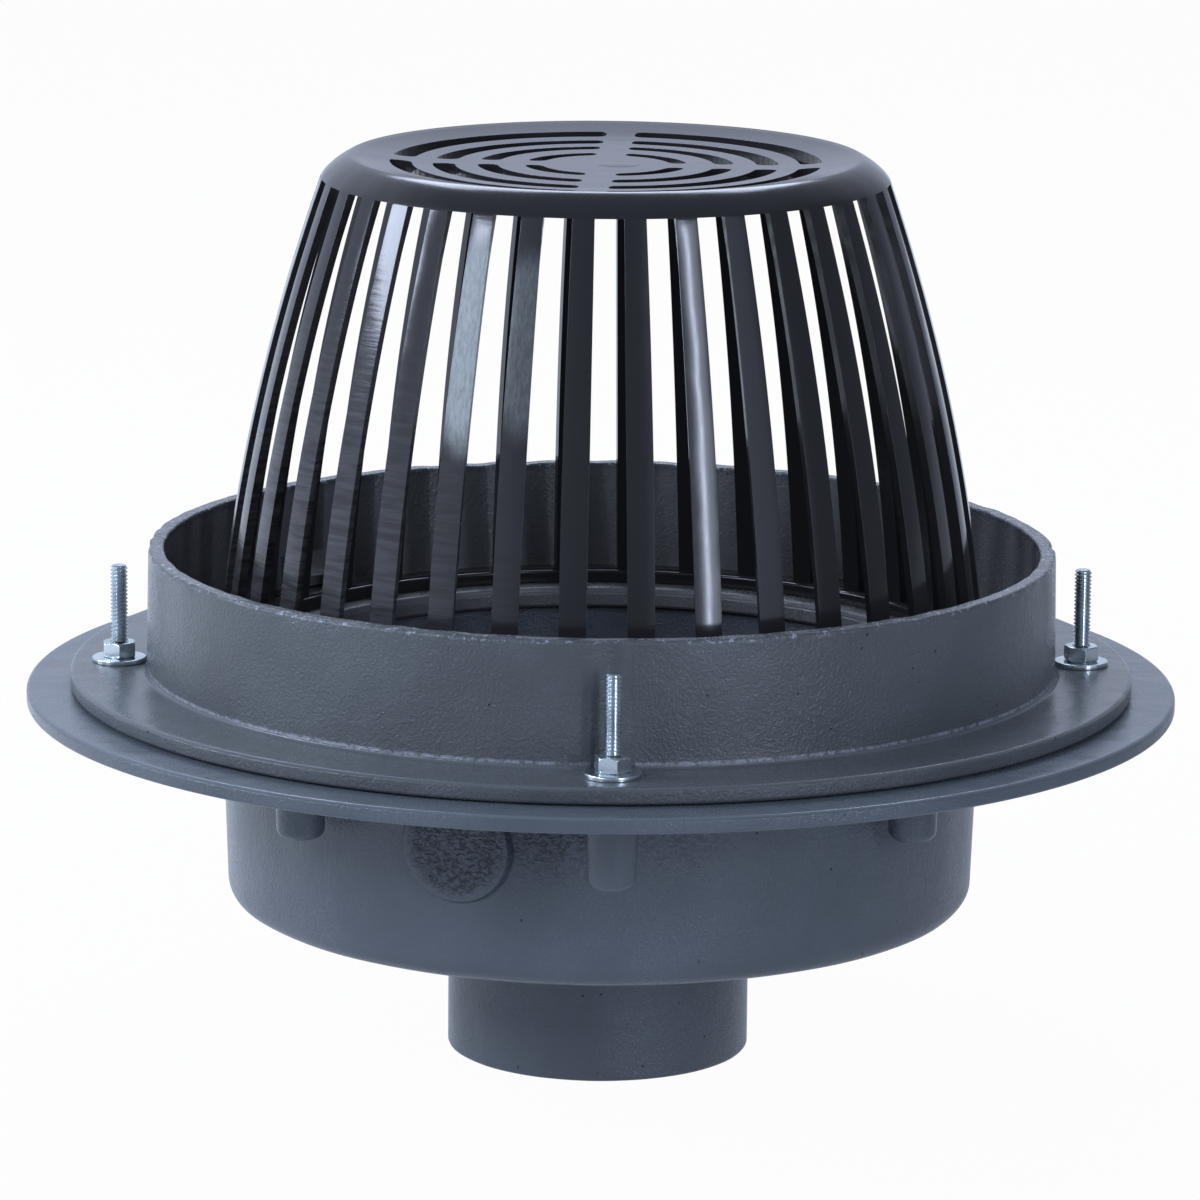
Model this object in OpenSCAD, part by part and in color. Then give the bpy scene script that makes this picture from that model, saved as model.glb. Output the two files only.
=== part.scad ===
// Flat roof drain: a cast body with its sump and outlet, a clamp ring with a gravel guard,
// a slotted dome strainer that locks with a part turn, and four studs with washers and nuts.
// Millimetres. The origin is on the drain's axis at the lower end of the outlet, and Z is up.

/* [Body casting] */
// Outside diameter of the deck flange
flange_d = 420; // [410:1:440]
// Thickness of the deck flange at its rim
flange_t = 5.7; // [5:0.1:7]
// Height of the top of the deck flange above the outlet's end
body_h = 137; // [130:1:170]
// Outside diameter of the sump where it meets the flange
sump_d = 277.6; // [272:0.2:280]
// Depth of the sump's underside below the top of the deck flange
sump_depth = 80; // [75:1:95]
// Wall thickness of the sump
sump_wall = 7; // [6:0.5:8]
// Outside diameter of the outlet spigot
outlet_d = 111; // [89:1:114]
// Wall thickness of the outlet spigot
outlet_wall = 5; // [4.5:0.1:6]
// Diameter of the cast bosses and lugs under the flange
boss_d = 18; // [16:0.5:20]
// Depth of the bosses and lugs below the top of the deck flange
boss_depth = 32.5; // [30:0.5:36]
// Diameter of the circle on which the four under-deck clamp lugs stand
lug_circle_d = 304; // [300:1:308]
// Diameter of the round pad cast on the side of the sump
pad_d = 39.6; // [30:0.2:44]

/* [Clamp ring and gravel guard] */
// Outside diameter of the clamp ring
ring_d = 388; // [384:1:396]
// Thickness of the clamp ring at its rim
ring_t = 6.1; // [5:0.1:7]
// Outside diameter of the guard's wall at its top
guard_d = 331; // [328:1:332]
// Height of the guard's top above the deck flange
guard_h = 51; // [44:1:60]
// Thickness of the guard's wall at its top
guard_wall = 5.8; // [5:0.1:6.5]
// Diameter of the opening inside the ring
throat_d = 253; // [248:1:258]
// Thickness of the ledge that carries the dome
ledge_t = 7.8; // [7:0.1:9]

/* [Dome strainer] */
// Outside diameter of the dome's bars at the foot
dome_foot_d = 281; // [276:0.2:286]
// Outside diameter of the dome where its shoulder begins
dome_shoulder_d = 206.4; // [198:0.2:214]
// Height of the shoulder above the deck flange
dome_shoulder_h = 185.6; // [150:0.2:200]
// How far the bars bow outwards between foot and shoulder
bar_bow = 6.3; // [2:0.1:9]
// Radial depth of a bar
bar_depth = 3.4; // [3:0.1:5]
// Number of bars around the dome
bar_count = 36; // [24:4:40]
// Width of a gap between two bars at the foot
gap_foot_w = 16.4; // [13:0.1:17]
// Width of a gap between two bars at the shoulder
gap_top_w = 7.4; // [6:0.1:8]
// Diameter of the crest, the highest line of the dome
crest_d = 184.4; // [178:0.2:188]
// Height of the crest above the shoulder's start
crest_rise = 8.7; // [7:0.05:12]
// Depth of the slotted plate's middle below the crest
plate_drop = 3.45; // [2:0.05:5]
// Thickness of the slotted plate
plate_t = 4; // [3:0.5:5]
// Width of an outer slot in the plate
slot_w = 8; // [7:0.1:8.4]
// Width of the four spokes that divide the slots
spoke_w = 10.8; // [8:0.1:14]
// Angle by which the dome's pattern lies turned from the studs
dome_turn = -6.2; // [-9:0.1:9]

/* [Twist lock] */
// Width of a hook on the guard, as an angle
hook_angle = 8; // [6:1:9]
// Width of a tab on the dome's foot, as an angle
tab_angle = 10; // [8:1:11]

/* [Fasteners] */
// Diameter of the circle on which the four studs stand
stud_circle_d = 352.8; // [352:0.2:354]
// Diameter of a stud over its thread
stud_d = 6.35; // [6:0.05:8]
// Height of a stud's tip above the clamp ring
stud_stand = 35.8; // [25:0.2:45]
// Depth of a stud's end below the top of the deck flange
stud_set = 26; // [20:0.5:28]
// Width of a nut across its flats
nut_af = 11.4; // [11:0.1:13]
// Height of a nut
nut_t = 5.6; // [5:0.1:6.5]
// Outside diameter of a washer
washer_d = 20; // [18:0.1:20.4]
// Thickness of a washer
washer_t = 1.8; // [1.4:0.1:2.4]

/* [Hidden] */
$fn = 96;

enamel = [0.30, 0.33, 0.38];
black_plastic = [0.10, 0.10, 0.12];
zinc = [0.78, 0.80, 0.84];

through = 1;             // how far a cutter runs past the face it opens
casting_r = 1.5;         // rounding on the castings' free edges
sides = [-90, 0, 90, 180];   // directions of the front, right, back and left studs
corners = [45, 135, 225, 315];   // directions of the hooks and of the under-deck lugs

deck_z = body_h;
sump_z = body_h - sump_depth;
sump_r = sump_d / 2;
sump_draft = 2;          // how much the sump narrows towards its underside
flange_root_t = 8;       // the flange thickens towards the sump
floor_t = 7;
floor_fall = 2;          // the sump's floor falls towards the outlet
spigot_r = outlet_d / 2;
bore_r = spigot_r - outlet_wall;
boss_r = boss_d / 2;
boss_draft = 0.5;
stud_circle_r = stud_circle_d / 2;
stud_r = stud_d / 2;
stud_hole_r = stud_r + 0.02;
lug_circle_r = lug_circle_d / 2;
lug_hole_r = 4;
lug_hole_depth = 18;
lug_web_w = 8;
pad_turn = -112.5;       // the pad sits halfway between the front boss and a lug
pad_drop = 30.7;
pad_stand = 1.8;

bead_h = 0.5;            // beads under the ring bite the roofing and keep it off the flange
bead_w = 3;
bead_circles = [286, 372];
ring_z = deck_z + bead_h;
ring_top = ring_z + ring_t;
ledge_z = ring_z + ledge_t;
guard_top = deck_z + guard_h;
guard_r = guard_d / 2;
guard_draft = 0.7;
throat_r = throat_d / 2;
stud_clear_r = stud_r + 1.1;
flute_r = 12.6;          // the guard's wall is fluted so that a washer lies flat beside it

foot_r = dome_foot_d / 2;
foot_rim = 6.6;          // how far the foot ring stands out past the bars
foot_h = 5;
shoulder_r = dome_shoulder_d / 2;
shoulder_z = deck_z + dome_shoulder_h;
crest_z = shoulder_z + crest_rise;
plate_z = crest_z - plate_drop;
crest_r = crest_d / 2;
shoulder_form = 1.57;    // 1 would make the shoulder a quarter of an ellipse, and 2 a flat bevel
dish_r = 57;             // the plate is level inside this radius and rises from it to the crest
slot_circles = [148, 117, 85.6, 52.8];
slot_narrow = [0, 0, 0.8, 1.8];   // how much narrower than the outer one each slot is
plate_r = slot_circles[0] / 2 + slot_w / 2 + 0.6;
bar_steps = 6;
gap_lift = 0.6;          // a gap begins just above the foot ring and ends just above the shoulder's start

hook_z = ledge_z + 5;    // underside of a hook
hook_nose_r = foot_r + foot_rim + 2.3;
hook_in = 1;             // how far a hook is rooted in the wall
stop_angle = 2.4;
play_angle = 0.3;        // gap between a locked tab and its stop
tab_lift = 0.1;          // a tab stands this far clear of the ledge, and the foot ring carries the dome
tab_t = 4.3;
tab_r = guard_r - guard_wall - 3.7;

ring_in_r = guard_r - guard_wall;   // inside of the guard's wall at its top
nut_turns = [12, 9, 40, 4];         // how each nut has come to rest when tightened

// Points of an arc about c, from angle a0 to a1 in n steps
function arc(c, r, a0, a1, n = 4) =
    [for (i = [0 : n]) let (a = a0 + (a1 - a0) * i / n) c + r * [cos(a), sin(a)]];

// Outside radius of the bars at a share s of the way from foot to shoulder
function bar_r(s) = foot_r + (shoulder_r - foot_r) * s + 4 * bar_bow * s * (1 - s);
function bar_z(s) = ledge_z + (shoulder_z - ledge_z) * s;

// Share of the way at step i, counted from the top of the foot ring
function step_share(i) =
    let (foot_share = foot_h / (shoulder_z - ledge_z)) foot_share + (1 - foot_share) * i / bar_steps;

// Points of a shoulder that starts at (r, z) and goes in by run while it rises by rise
function shoulder_arc(r, z, run, rise, angles) =
    [for (a = angles) [r - run + run * pow(cos(a), shoulder_form), z + rise * pow(sin(a), shoulder_form)]];

// Height of the slotted plate's top face at radius r
function plate_top(r) = plate_z + plate_drop * pow(max(r - dish_r, 0) / (crest_r - dish_r), 2);

// Half section of the body: spigot, sump with a sloped floor, and deck flange
module body_section() {
    low_r = sump_r - sump_draft;
    root_z = deck_z - flange_root_t;
    rim_r = flange_d / 2 - casting_r;
    seat_r = stud_circle_r + boss_r + 2;   // outside this the underside lies flat on the deck
    floor_z = sump_z + floor_t;
    neck_r = 4;
    corner_r = 8;
    polygon(concat(
        [[bore_r, 0]],
        arc([spigot_r - casting_r, casting_r], casting_r, -90, 0, 3),
        arc([spigot_r + neck_r, sump_z - neck_r], neck_r, 180, 90),
        arc([low_r - corner_r, sump_z + corner_r], corner_r, -90, 0, 6),
        arc([sump_r + neck_r, root_z - neck_r], neck_r, 180, 90),
        [[seat_r, deck_z - flange_t]],
        arc([rim_r, deck_z - flange_t + casting_r], casting_r, -90, 0, 3),
        arc([rim_r, deck_z - casting_r], casting_r, 0, 90, 3),
        arc([sump_r - sump_wall + casting_r, deck_z - casting_r], casting_r, 90, 180, 3),
        arc([low_r - sump_wall - corner_r, floor_z + corner_r], corner_r, 0, -90, 6),
        arc([bore_r + neck_r, floor_z - floor_fall - neck_r], neck_r, 90, 180)
    ));
}

// A cast boss that hangs from the flange, drafted and rounded at its lower end
module boss() {
    end_z = deck_z - boss_depth;
    end_r = boss_r - boss_draft;
    nose_r = 4;
    rotate_extrude() polygon(concat(
        [[0, end_z]],
        arc([end_r - nose_r, end_z + nose_r], nose_r, -90, 0),
        [[boss_r, deck_z - flange_t / 2], [0, deck_z - flange_t / 2]]
    ));
}

module drain_body() {
    web_in = 3;
    color(enamel) difference() {
        union() {
            rotate_extrude() body_section();
            for (a = sides) rotate(a) translate([stud_circle_r, 0, 0]) boss();
            for (a = corners) rotate(a) {
                translate([lug_circle_r, 0, 0]) boss();
                translate([sump_r - web_in, -lug_web_w / 2, deck_z - boss_depth + boss_r])
                    cube([lug_circle_r - sump_r + web_in, lug_web_w, boss_depth - boss_r - flange_t / 2]);
            }
            rotate(pad_turn) translate([sump_r - web_in, 0, deck_z - pad_drop])
                rotate([0, 90, 0]) cylinder(h = web_in + pad_stand - 1, d = pad_d);
        }
        for (a = sides) rotate(a) translate([stud_circle_r, 0, deck_z - stud_set])
            cylinder(h = stud_set + through, r = stud_hole_r, $fn = 32);
        for (a = corners) rotate(a) translate([lug_circle_r, 0, deck_z - boss_depth - through])
            cylinder(h = lug_hole_depth + through, r = lug_hole_r, $fn = 32);
    }
}

// Half section of the clamp ring: rim, guard wall, and the ledge inside it
module ring_section() {
    rim_r = ring_d / 2 - casting_r;
    base_r = guard_r + guard_draft;
    root_r = 4;
    seat_r = 2.5;
    lip_r = 2;
    wall_r = ring_in_r - guard_draft;
    polygon(concat(
        [[throat_r + 1, ring_z]],
        arc([rim_r, ring_z + casting_r], casting_r, -90, 0, 3),
        arc([rim_r, ring_top - casting_r], casting_r, 0, 90, 3),
        arc([base_r + root_r, ring_top + root_r], root_r, 270, 180),
        arc([guard_r - casting_r, guard_top - casting_r], casting_r, 0, 90, 3),
        arc([ring_in_r + 1, guard_top - 1], 1, 90, 180, 2),
        arc([wall_r - seat_r, ledge_z + seat_r], seat_r, 0, -90, 3),
        arc([throat_r + lip_r, ledge_z - lip_r], lip_r, 90, 180, 3),
        [[throat_r, ring_z + 1]]
    ));
}

// A hook cast inside the guard: a sloped nose over the dome's tab, with a stop at one end
module hook() {
    root_r = ring_in_r + hook_in;
    nose_t = 3.6;
    rise = 11;
    rotate(-hook_angle / 2) rotate_extrude(angle = hook_angle) polygon([
        [hook_nose_r, hook_z], [root_r, hook_z],
        [root_r, hook_z + rise], [root_r - 3, hook_z + rise],
        [hook_nose_r, hook_z + nose_t]
    ]);
    rotate(-hook_angle / 2) rotate_extrude(angle = stop_angle) polygon([
        [hook_nose_r, ledge_z - 1], [root_r, ledge_z - 1],
        [root_r, hook_z + 1], [hook_nose_r, hook_z + 1]
    ]);
}

module clamp_ring() {
    color(enamel) difference() {
        union() {
            rotate_extrude() ring_section();
            rotate_extrude() for (d = bead_circles)
                translate([d / 2 - bead_w / 2, deck_z]) square([bead_w, bead_h + 1]);
            for (a = corners) rotate(a) hook();
        }
        for (a = sides) rotate(a) translate([stud_circle_r, 0, 0]) {
            translate([0, 0, deck_z - through])
                cylinder(h = ring_t + bead_h + 2 * through, r = stud_clear_r, $fn = 32);
            translate([0, 0, ring_top]) cylinder(h = guard_h, r = flute_r, $fn = 64);
        }
    }
}

// Half section of the dome: foot, bowed wall, rounded shoulder, and the sunk plate
module dome_section() {
    rim_r = foot_r + foot_rim;
    dish_steps = 5;
    under_r = crest_r - 3.6;     // the plate's underside ends here, and the shoulder's inside begins
    inner_z = shoulder_z - 2.6;  // the shoulder is thicker than the bars
    inner_r = shoulder_r - bar_depth;
    inner_rise = plate_top(under_r) - plate_t - inner_z;
    polygon(concat(
        [[foot_r - bar_depth - 2, ledge_z], [rim_r, ledge_z],
         [rim_r, ledge_z + foot_h - 1], [rim_r - 1, ledge_z + foot_h]],
        [for (i = [0 : bar_steps]) [bar_r(step_share(i)), bar_z(step_share(i))]],
        shoulder_arc(shoulder_r, shoulder_z, shoulder_r - crest_r, crest_rise, [15 : 15 : 90]),
        [for (i = [1 : dish_steps]) let (r = crest_r - (crest_r - dish_r) * i / dish_steps)
            [r, plate_top(r)]],
        [[0, plate_z], [0, plate_z - plate_t]],
        [for (i = [0 : 3]) let (r = dish_r + (under_r - dish_r) * i / 3) [r, plate_top(r) - plate_t]],
        shoulder_arc(inner_r, inner_z, inner_r - under_r, inner_rise, [70, 45, 20, 0]),
        [for (i = [bar_steps - 1 : -1 : 0]) [bar_r(step_share(i)) - bar_depth, bar_z(step_share(i))]]
    ));
}

// Cutter for one gap between bars, a prism that tapers upwards as the bars close in
module gap_cutter() {
    low_z = ledge_z + foot_h + gap_lift;
    high_z = shoulder_z + gap_lift;
    rotate([90, 0, 90]) translate([0, 0, shoulder_r / 2]) linear_extrude(foot_r) polygon([
        [-gap_foot_w / 2, low_z], [gap_foot_w / 2, low_z],
        [gap_top_w / 2, high_z - 1], [gap_top_w / 2 - 1, high_z],
        [1 - gap_top_w / 2, high_z], [-gap_top_w / 2, high_z - 1]
    ]);
}

// Cutter for the four rings of slots, with the spokes left standing
module slot_cutter() {
    difference() {
        for (i = [0 : 3]) translate([0, 0, plate_z - plate_t - through]) difference() {
            mid_r = slot_circles[i] / 2;
            half = (slot_w - slot_narrow[i]) / 2;
            cylinder(h = plate_t + plate_drop + 2 * through, r = mid_r + half);
            translate([0, 0, -through]) cylinder(h = plate_t + plate_drop + 4 * through, r = mid_r - half);
        }
        for (a = [0, 90]) rotate(a) translate([-plate_r, -spoke_w / 2, plate_z - 3 * plate_t])
            cube([2 * plate_r, spoke_w, 6 * plate_t]);
    }
}

module dome_strainer() {
    gate_r = 7.9;
    gate_h = 0.4;
    gate_off = 4.7;
    color(black_plastic) union() {
        rotate(dome_turn) difference() {
            rotate_extrude() dome_section();
            for (i = [0 : bar_count - 1]) rotate((i + 0.5) * 360 / bar_count) gap_cutter();
            slot_cutter();
        }
        translate([gate_off, 0, plate_z - 1]) cylinder(h = gate_h + 1, r = gate_r);
        for (a = corners) rotate(a - hook_angle / 2 + stop_angle + play_angle)
            rotate_extrude(angle = tab_angle) translate([foot_r, ledge_z + tab_lift])
                square([tab_r - foot_r, tab_t - tab_lift]);
    }
}

module at_side(i) {
    rotate(sides[i]) translate([stud_circle_r, 0, 0]) rotate(-sides[i]) children();
}

module stud() {
    tip_z = ring_top + stud_stand;
    end_z = deck_z - stud_set;
    bevel = 0.8;
    color(zinc) rotate_extrude($fn = 32) polygon([
        [0, end_z], [stud_r - bevel, end_z], [stud_r, end_z + bevel],
        [stud_r, tip_z - bevel], [stud_r - bevel, tip_z], [0, tip_z]
    ]);
}

module washer() {
    soft = 0.4;
    hole_r = stud_r + 0.6;
    top_z = ring_top + washer_t;
    color(zinc) rotate_extrude($fn = 64) polygon([
        [hole_r, ring_top], [washer_d / 2, ring_top], [washer_d / 2, top_z - soft],
        [washer_d / 2 - soft, top_z], [hole_r, top_z]
    ]);
}

// Hexagon nut with its corners turned off at both ends
module nut() {
    corner_r = nut_af / 2 / cos(30);
    seat_z = ring_top + washer_t;
    fall = (corner_r - nut_af / 2) * tan(30);
    color(zinc) difference() {
        intersection() {
            translate([0, 0, seat_z]) cylinder(h = nut_t, r = corner_r, $fn = 6);
            rotate_extrude($fn = 64) polygon([
                [0, seat_z], [nut_af / 2, seat_z], [corner_r, seat_z + fall],
                [corner_r, seat_z + nut_t - fall], [nut_af / 2, seat_z + nut_t], [0, seat_z + nut_t]
            ]);
        }
        translate([0, 0, seat_z - through])
            cylinder(h = nut_t + 2 * through, r = stud_hole_r, $fn = 32);
    }
}

drain_body();
clamp_ring();
dome_strainer();
at_side(0) stud();  // stud_front
at_side(1) stud();  // stud_right
at_side(2) stud();  // stud_back
at_side(3) stud();  // stud_left
at_side(0) washer();  // washer_front
at_side(1) washer();  // washer_right
at_side(2) washer();  // washer_back
at_side(3) washer();  // washer_left
at_side(0) rotate(nut_turns[0]) nut();  // nut_front
at_side(1) rotate(nut_turns[1]) nut();  // nut_right
at_side(2) rotate(nut_turns[2]) nut();  // nut_back
at_side(3) rotate(nut_turns[3]) nut();  // nut_left
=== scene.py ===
"""Looks of a flat roof drain: enamelled castings, a black moulded dome strainer and zinc-plated fasteners.

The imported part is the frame. Each casting, the dome and each fastener gets a finer skin in the same place,
with round edges, threads and the finish of the real material, and rides on the CAD body it belongs to.
"""

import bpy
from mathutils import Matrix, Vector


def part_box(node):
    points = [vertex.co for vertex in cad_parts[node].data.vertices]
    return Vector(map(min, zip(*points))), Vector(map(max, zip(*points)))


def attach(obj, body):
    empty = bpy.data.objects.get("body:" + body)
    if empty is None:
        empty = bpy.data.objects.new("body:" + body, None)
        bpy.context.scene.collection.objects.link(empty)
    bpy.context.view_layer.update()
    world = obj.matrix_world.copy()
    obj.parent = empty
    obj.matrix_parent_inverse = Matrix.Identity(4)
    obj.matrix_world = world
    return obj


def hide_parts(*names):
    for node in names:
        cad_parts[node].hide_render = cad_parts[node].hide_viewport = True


bl_info = {
    "name": "Flat Roof Drain",
    "version": (1, 0, 0),
    "blender": (4, 5, 0),
    "location": "3D View > Sidebar > Roof Drain",
    "description": "Builds a flat roof drain's castings, dome strainer and fasteners, and the studio",
    "category": "Add Mesh",
}

import bpy
import numpy as np
from bpy.props import FloatProperty, FloatVectorProperty, IntProperty, PointerProperty
from bpy.types import Operator, Panel, PropertyGroup
from mathutils import Matrix, Vector

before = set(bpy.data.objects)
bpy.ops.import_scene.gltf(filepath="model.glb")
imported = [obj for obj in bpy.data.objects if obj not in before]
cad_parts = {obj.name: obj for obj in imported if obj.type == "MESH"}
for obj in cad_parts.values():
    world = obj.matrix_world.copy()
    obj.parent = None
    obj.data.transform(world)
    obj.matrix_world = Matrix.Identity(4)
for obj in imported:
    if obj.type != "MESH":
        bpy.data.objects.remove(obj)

MM = 0.001
BODY_LOW, BODY_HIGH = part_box("drain_body")
RING_LOW, RING_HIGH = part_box("clamp_ring")
DOME_LOW, DOME_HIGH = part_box("dome_strainer")
STUD_LOW, STUD_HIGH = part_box("stud_right")
DECK = BODY_HIGH.z    # top of the deck flange
LEDGE = DOME_LOW.z    # ledge of the clamp ring, which carries the dome
STUD_CIRCLE = (STUD_LOW.x + STUD_HIGH.x) / 2
STUD_RADIUS = (STUD_HIGH.x - STUD_LOW.x) / 2
SIDES = (-90, 0, 90, 180)        # directions of the studs and their bosses, in degrees
CORNERS = (45, 135, 225, 315)    # directions of the lugs, the hooks and the tabs
PAD_TURN = -112.5                # the pad sits halfway between the front boss and a lug
BEAD_HEIGHT = 0.5 * MM           # the beads under the ring hold it off the flange
GUARD_DRAFT = 0.7 * MM           # how much the guard's wall thickens towards its root
WHITE = (1, 1, 1, 1)


def length(name, description, millimetres):
    """A size that is kept in metres, and that the sidebar shows in the scene's own unit."""
    return FloatProperty(name=name, description=description, default=millimetres * MM, min=0, precision=4,
                         unit="LENGTH")


def degrees(name, description, default):
    """A plain angle in degrees."""
    return FloatProperty(name=name, description=description + ", in degrees", default=default)


def power(name, description, default):
    """The power of a lamp."""
    return FloatProperty(name=name, description=description, default=default, min=0, unit="POWER")


def share(name, description, default):
    """A plain share from nothing to all."""
    return FloatProperty(name=name, description=description, default=default, min=0, max=1, subtype="FACTOR")


def colour(name, description, default):
    """A linear colour."""
    return FloatVectorProperty(name=name, description=description, default=default, size=3, min=0, max=1,
                               subtype="COLOR")


class CastingSizes(PropertyGroup):
    """Sizes of the body casting and of the clamp ring."""

    flange_thickness: length("Flange", "Thickness of the deck flange at its rim", 5.7)
    flange_root: length("Flange root", "Thickness of the flange where it meets the sump", 8)
    sump_radius: length("Sump", "Outside radius of the sump under the flange", 138.8)
    sump_depth: length("Sump depth", "Depth of the sump's underside below the flange's top", 80)
    sump_wall: length("Sump wall", "Thickness of the sump's wall and floor", 7)
    sump_draft: length("Sump draft", "How much the sump narrows towards its underside", 2)
    spigot_radius: length("Spigot", "Outside radius of the outlet spigot", 55.5)
    spigot_wall: length("Spigot wall", "Thickness of the spigot's wall", 5)
    boss_radius: length("Boss", "Radius of the bosses and lugs under the flange", 9)
    boss_depth: length("Boss depth", "Depth of the bosses and lugs below the flange's top", 32.5)
    lug_circle: length("Lug circle", "Radius of the circle that the under-deck lugs stand on", 152)
    pad_radius: length("Pad", "Radius of the round pad cast on the sump", 19.8)
    pad_drop: length("Pad drop", "Depth of the pad's centre below the flange's top", 30.7)
    ring_thickness: length("Ring", "Thickness of the clamp ring at its rim", 6.1)
    guard_radius: length("Guard", "Outside radius of the gravel guard at its top", 165.5)
    guard_wall: length("Guard wall", "Thickness of the gravel guard at its top", 5.8)
    throat_radius: length("Throat", "Radius of the opening inside the clamp ring", 126.5)
    edge_radius: length("Edge", "Rounding of the castings' free edges", 1.5)
    flute_radius: length("Flute", "Radius of the flutes that clear the washers", 12.6)
    hook_angle: degrees("Hook", "Width of a hook", 8)


class DomeSizes(PropertyGroup):
    """Sizes of the dome strainer."""

    bar_count: IntProperty(name="Bars", description="Number of bars around the dome", default=36, min=12)
    foot_radius: length("Foot", "Outside radius of the bars at the foot", 140.5)
    shoulder_radius: length("Shoulder", "Outside radius where the shoulder begins", 103.2)
    shoulder_height: length("Shoulder height", "Height of the shoulder's start above the flange's top", 185.6)
    bar_bow: length("Bow", "How far the bars bow outwards", 6.3)
    bar_depth: length("Bar depth", "Radial depth of a bar", 3.4)
    bar_crown: length("Bar crown", "How far the middle of a bar's face stands out past its edges", 0.12)
    gap_foot: length("Gap at foot", "Width of a gap at the foot", 15.2)
    gap_top: length("Gap at shoulder", "Width of a gap at the shoulder", 10.2)
    bar_draft: length("Bar draft", "How much narrower each side of a bar is at its inner face", 0.7)
    crest_radius: length("Crest", "Radius of the crest", 92.2)
    dish_radius: length("Dish", "Radius inside which the slotted plate is level", 57)
    plate_drop: length("Plate drop", "Depth of the plate's middle below the crest", 3.45)
    plate_thickness: length("Plate", "Thickness of the slotted plate", 4)
    slot_width: length("Slot", "Width of an outer slot", 8)
    slot_corner: length("Slot corner", "Rounding of the slots' corners", 2.6)
    spoke_width: length("Spoke", "Width of the four spokes between the slots", 10.8)
    turn: degrees("Turn", "Turn of the pattern from the studs", -5.6)
    edge_radius: length("Edge", "Rounding of the moulding's edges", 0.5)


class FastenerSizes(PropertyGroup):
    """Sizes of the studs, nuts and washers."""

    thread_pitch: length("Pitch", "Distance from one thread to the next", 1.4)
    thread_depth: length("Thread depth", "Depth of the thread", 0.75)
    nut_flats: length("Nut", "Width of a nut across its flats", 11.4)


class FinishColours(PropertyGroup):
    """Colours and gloss of the three finishes."""

    # lighter and bluer than the ring's enamel: painted light from the floor's bounce on the body
    body_enamel_lit: colour("Body enamel", "Blue-grey enamel of the body", (0.087, 0.102, 0.118))
    ring_enamel: colour("Ring enamel", "Blue-grey enamel of the clamp ring", (0.076, 0.085, 0.090))
    # pale colour for worn flecks on the guard's top edge, also used there as painted glints and as a painted
    # highlight along the guard's root
    fleck_and_highlight: colour("Fleck", "Where the enamel is worn through at an edge", (0.29, 0.32, 0.38))
    # pale dusty tone inside the guard, which also serves as painted light lifting the shaded inside
    dust_and_fill_light: colour("Dust", "Dust on the inside of the guard", (0.22, 0.21, 0.20))
    stain: colour("Stain", "Brown stain on the flange", (0.15, 0.12, 0.11))
    enamel_gloss: share("Enamel roughness", "Roughness of the enamel where it is clean", 0.19)
    plastic: colour("Plastic", "Black polyethylene of the dome", (0.017, 0.017, 0.018))
    plastic_gloss: share("Plastic roughness", "Roughness of the dome where it is clean", 0.11)
    # pale colour of the scuffed patches, partly real scuffing and partly a painted reflection of the front
    # left softbox
    rubbed_and_sheen: colour("Rubbed plastic", "Where the dome is rubbed matt", (0.34, 0.38, 0.37))
    zinc: colour("Zinc", "Zinc plating of the fasteners", (0.62, 0.68, 0.71))


# ---------------------------------------------------------------- shapes

def arc(centre, radius, start, end, steps=8):
    """Points of a circle's arc: centre + radius * (cos a, sin a), with a from start to end in degrees."""
    a = np.radians(np.linspace(start, end, steps + 1))
    return np.column_stack([centre[0] + radius * np.cos(a), centre[1] + radius * np.sin(a)])


def spaced(points, step):
    """A closed outline with points added on its straight stretches, so that none is longer than step."""
    points = np.asarray(points, float)
    following = np.roll(points, -1, 0)
    counts = np.maximum(np.ceil(np.linalg.norm(following - points, axis=1) / step).astype(int), 1)
    start = np.repeat(np.arange(len(points)), counts)
    place = (np.arange(counts.sum()) - np.repeat(np.cumsum(counts) - counts, counts)) / counts[start]
    return points[start] + (following - points)[start] * place[:, None]


def around(radius, angles, height, centre=(0, 0)):
    """Points about an upright axis at centre: (x + r cos a, y + r sin a, z), with a in degrees."""
    x, y = centre[0] + radius * np.cos(np.radians(angles)), centre[1] + radius * np.sin(np.radians(angles))
    return np.stack(np.broadcast_arrays(x, y, height), -1)


def turned(outline, angles):
    """An outline (radius, height) turned about Z: point (i, j) is (r_i cos a_j, r_i sin a_j, z_i)."""
    return around(outline[:, 0, None], angles, outline[:, 1, None])


def skin(points, close_rows=True, close_columns=True):
    """A grid of points (rows, columns, 3) as vertices and quads. A closed direction joins its last line to
    its first."""
    rows, columns = points.shape[:2]
    index = np.arange(rows * columns).reshape(rows, columns)
    down = np.roll(index, -1, 0) if close_rows else index[1:]
    index = index if close_rows else index[:-1]
    quads = np.stack([index, np.roll(index, -1, 1), np.roll(down, -1, 1), down], -1)
    quads = quads if close_columns else quads[:, :-1]
    return points.reshape(-1, 3), quads.reshape(-1, 4)


def capped(points):
    """A tube of points (rows, columns, 3) closed at both ends by a fan to the middle of the end row."""
    low, high = points[:1].mean(1, keepdims=True), points[-1:].mean(1, keepdims=True)
    ends = [np.repeat(middle, points.shape[1], 1) for middle in (low, high)]
    return skin(np.concatenate([ends[0], points, ends[1]]), close_rows=False)


def joined(shells):
    """Several (vertices, quads) as one."""
    starts = np.cumsum([0] + [len(v) for v, _ in shells[:-1]])
    quads = [q + start for (_, q), start in zip(shells, starts)]
    return np.concatenate([v for v, _ in shells]), np.concatenate(quads)


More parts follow.
